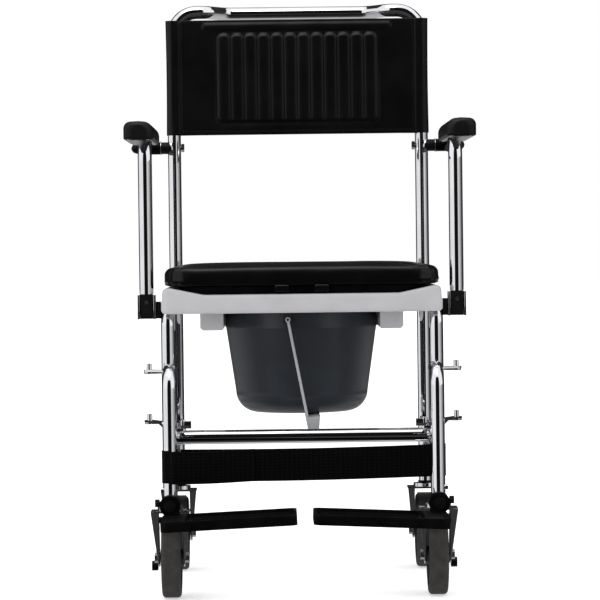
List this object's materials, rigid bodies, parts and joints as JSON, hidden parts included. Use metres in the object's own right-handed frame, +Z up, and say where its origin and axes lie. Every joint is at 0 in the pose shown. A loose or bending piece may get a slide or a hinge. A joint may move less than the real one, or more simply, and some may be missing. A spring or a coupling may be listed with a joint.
{
  "type": "commode chair",
  "caption": "Wheeled commode chair: chromed tube frame, sling back, flip-up arms, swing-away footrests and a pan that slides out under a padded seat.",
  "frame": {"origin": "on the floor, under the middle of the whole chair's bounding box", "axes": "+Z up, +Y towards the back of the chair, +X towards the seated user's left"},
  "size_m": [0.5622, 0.7124, 0.955],
  "materials": {
    "chromed_tube": "bright chromium plate over steel tube",
    "chromed_plate": "bright chromium plate over pressed steel",
    "zinc_bolt": "zinc-plated steel",
    "button_steel": "polished steel",
    "black_nylon": "moulded black nylon",
    "backrest_vinyl": "black grained vinyl, quilted",
    "cushion_vinyl": "black grained vinyl over foam",
    "base_board": "black moulded board",
    "seat_plastic": "light grey moulded polyethylene",
    "rail_plastic": "pale grey moulded plastic",
    "pan_plastic": "slate grey moulded polypropylene",
    "bail_plastic": "pale grey moulded plastic",
    "strap_webbing": "black woven webbing with hook-and-loop end",
    "pad_foam": "black self-skinning polyurethane",
    "footplate_plastic": "black ribbed moulded plastic",
    "hub_plastic": "dark moulded plastic",
    "tyre_rubber": "dark grey rubber",
    "brake_plastic": "black moulded lever"
  },
  "bodies": {
    "root": {"back_frame": "chromed_tube", "side_tubes": "chromed_tube", "lower_side_rails": "chromed_tube", "crossbars": "chromed_tube", "castor_stem_bushes": "black_nylon", "backrest_cover": "backrest_vinyl", "commode_seat": "seat_plastic", "pan_rails": "rail_plastic", "arm_brackets": "chromed_plate", "arm_spacers": "black_nylon", "arm_pivot_bolts": "zinc_bolt", "hanger_lugs": "chromed_plate", "calf_strap": "strap_webbing"},
    "left_arm": {"left_arm_tube": "chromed_tube", "left_arm_pad": "pad_foam", "left_arm_hub": "black_nylon", "left_arm_foot": "black_nylon"},
    "left_arm_button": {"left_arm_button": "button_steel"},
    "left_hanger": {"left_hanger_tube": "chromed_tube"},
    "left_latch": {"left_hanger_latch": "chromed_plate"},
    "left_footrest": {"left_footrest_stem": "chromed_plate", "left_footrest_knuckle": "black_nylon"},
    "left_footrest_knob": {"left_footrest_knob": "black_nylon"},
    "left_footplate": {"left_footplate": "footplate_plastic"},
    "right_arm": {"right_arm_tube": "chromed_tube", "right_arm_pad": "pad_foam", "right_arm_hub": "black_nylon", "right_arm_foot": "black_nylon"},
    "right_arm_button": {"right_arm_button": "button_steel"},
    "right_hanger": {"right_hanger_tube": "chromed_tube", "calf_strap_loop": "strap_webbing"},
    "right_latch": {"right_hanger_latch": "chromed_plate"},
    "right_footrest": {"right_footrest_stem": "chromed_plate", "right_footrest_knuckle": "black_nylon"},
    "right_footrest_knob": {"right_footrest_knob": "black_nylon"},
    "right_footplate": {"right_footplate": "footplate_plastic"},
    "front_left_castor": {"front_left_fork": "chromed_plate", "front_left_axle": "zinc_bolt"},
    "front_left_wheel": {"front_left_hub": "hub_plastic", "front_left_tyre": "tyre_rubber"},
    "front_left_brake": {"front_left_brake": "brake_plastic"},
    "front_right_castor": {"front_right_fork": "chromed_plate", "front_right_axle": "zinc_bolt"},
    "front_right_wheel": {"front_right_hub": "hub_plastic", "front_right_tyre": "tyre_rubber"},
    "front_right_brake": {"front_right_brake": "brake_plastic"},
    "rear_left_castor": {"rear_left_fork": "chromed_plate", "rear_left_axle": "zinc_bolt"},
    "rear_left_wheel": {"rear_left_hub": "hub_plastic", "rear_left_tyre": "tyre_rubber"},
    "rear_left_brake": {"rear_left_brake": "brake_plastic"},
    "rear_right_castor": {"rear_right_fork": "chromed_plate", "rear_right_axle": "zinc_bolt"},
    "rear_right_wheel": {"rear_right_hub": "hub_plastic", "rear_right_tyre": "tyre_rubber"},
    "rear_right_brake": {"rear_right_brake": "brake_plastic"},
    "pan": {"pan": "pan_plastic"},
    "bail": {"pan_bail": "bail_plastic"},
    "cushion": {"cushion": "cushion_vinyl", "cushion_base": "base_board"}
  },
  "joints": [
    {"name": "left_arm_lift", "type": "hinge", "parent": "root", "child": "left_arm", "pos_m": [0.254, 0.25875, 0.716], "axis": [-1, 0, 0], "range_deg": [0, 110]},
    {"name": "left_arm_button_press", "type": "slide", "parent": "left_arm", "child": "left_arm_button", "axis": [0, 1, 0], "range_m": [0, 0.003], "stiffness_N_per_m": 600},
    {"name": "left_hanger_swing", "type": "hinge", "parent": "root", "child": "left_hanger", "pos_m": [0.238, -0.15625, 0.32], "axis": [0, 0, 1], "range_deg": [0, 90]},
    {"name": "left_latch_release", "type": "hinge", "parent": "left_hanger", "child": "left_latch", "pos_m": [0.1855, -0.20525, 0.275], "axis": [0, 0, 1], "range_deg": [0, 30], "stiffness_Nm_per_rad": 0.3},
    {"name": "left_footrest_height", "type": "slide", "parent": "left_hanger", "child": "left_footrest", "axis": [0, 0, 1], "range_m": [-0.075, 0]},
    {"name": "left_footrest_knob_turn", "type": "hinge", "parent": "left_footrest", "child": "left_footrest_knob", "pos_m": [0.225, -0.20725, 0.157], "axis": [1, 0, 0], "range_deg": [-180, 180]},
    {"name": "left_footplate_flip", "type": "hinge", "parent": "left_footrest", "child": "left_footplate", "pos_m": [0.2055, -0.20725, 0.155], "axis": [0, 1, 0], "range_deg": [0, 90]},
    {"name": "right_arm_lift", "type": "hinge", "parent": "root", "child": "right_arm", "pos_m": [-0.254, 0.25875, 0.716], "axis": [-1, 0, 0], "range_deg": [0, 110]},
    {"name": "right_arm_button_press", "type": "slide", "parent": "right_arm", "child": "right_arm_button", "axis": [0, 1, 0], "range_m": [0, 0.003], "stiffness_N_per_m": 600},
    {"name": "right_hanger_swing", "type": "hinge", "parent": "root", "child": "right_hanger", "pos_m": [-0.238, -0.15625, 0.32], "axis": [0, 0, -1], "range_deg": [0, 90]},
    {"name": "right_latch_release", "type": "hinge", "parent": "right_hanger", "child": "right_latch", "pos_m": [-0.1855, -0.20525, 0.275], "axis": [0, 0, -1], "range_deg": [0, 30], "stiffness_Nm_per_rad": 0.3},
    {"name": "right_footrest_height", "type": "slide", "parent": "right_hanger", "child": "right_footrest", "axis": [0, 0, 1], "range_m": [-0.075, 0]},
    {"name": "right_footrest_knob_turn", "type": "hinge", "parent": "right_footrest", "child": "right_footrest_knob", "pos_m": [-0.225, -0.20725, 0.157], "axis": [-1, 0, 0], "range_deg": [-180, 180]},
    {"name": "right_footplate_flip", "type": "hinge", "parent": "right_footrest", "child": "right_footplate", "pos_m": [-0.2055, -0.20725, 0.155], "axis": [0, -1, 0], "range_deg": [0, 90]},
    {"name": "front_left_swivel", "type": "hinge", "parent": "root", "child": "front_left_castor", "pos_m": [0.2085, -0.14125, 0.14], "axis": [0, 0, 1], "continuous": true},
    {"name": "front_left_roll", "type": "hinge", "parent": "front_left_castor", "child": "front_left_wheel", "pos_m": [0.2085, -0.10625, 0.0625], "axis": [1, 0, 0], "continuous": true},
    {"name": "front_left_brake_press", "type": "hinge", "parent": "front_left_castor", "child": "front_left_brake", "pos_m": [0.2085, -0.10625, 0.108], "axis": [-1, 0, 0], "range_deg": [0, 7]},
    {"name": "front_right_swivel", "type": "hinge", "parent": "root", "child": "front_right_castor", "pos_m": [-0.2085, -0.14125, 0.14], "axis": [0, 0, 1], "continuous": true},
    {"name": "front_right_roll", "type": "hinge", "parent": "front_right_castor", "child": "front_right_wheel", "pos_m": [-0.2085, -0.10625, 0.0625], "axis": [1, 0, 0], "continuous": true},
    {"name": "front_right_brake_press", "type": "hinge", "parent": "front_right_castor", "child": "front_right_brake", "pos_m": [-0.2085, -0.10625, 0.108], "axis": [-1, 0, 0], "range_deg": [0, 7]},
    {"name": "rear_left_swivel", "type": "hinge", "parent": "root", "child": "rear_left_castor", "pos_m": [0.2085, 0.25875, 0.14], "axis": [0, 0, 1], "continuous": true},
    {"name": "rear_left_roll", "type": "hinge", "parent": "rear_left_castor", "child": "rear_left_wheel", "pos_m": [0.2085, 0.29375, 0.0625], "axis": [1, 0, 0], "continuous": true},
    {"name": "rear_left_brake_press", "type": "hinge", "parent": "rear_left_castor", "child": "rear_left_brake", "pos_m": [0.2085, 0.29375, 0.108], "axis": [-1, 0, 0], "range_deg": [0, 7]},
    {"name": "rear_right_swivel", "type": "hinge", "parent": "root", "child": "rear_right_castor", "pos_m": [-0.2085, 0.25875, 0.14], "axis": [0, 0, 1], "continuous": true},
    {"name": "rear_right_roll", "type": "hinge", "parent": "rear_right_castor", "child": "rear_right_wheel", "pos_m": [-0.2085, 0.29375, 0.0625], "axis": [1, 0, 0], "continuous": true},
    {"name": "rear_right_brake_press", "type": "hinge", "parent": "rear_right_castor", "child": "rear_right_brake", "pos_m": [-0.2085, 0.29375, 0.108], "axis": [-1, 0, 0], "range_deg": [0, 7]},
    {"name": "pan_slide", "type": "slide", "parent": "root", "child": "pan", "axis": [0, 1, 0], "range_m": [0, 0.33]},
    {"name": "bail_swing", "type": "hinge", "parent": "pan", "child": "bail", "pos_m": [-0.022, 0.047, 0.433], "axis": [0, 1, 0], "range_deg": [0, 18]},
    {"name": "cushion_lift", "type": "slide", "parent": "root", "child": "cushion", "axis": [0, 0, 1], "range_m": [0, 0.25]}
  ]
}
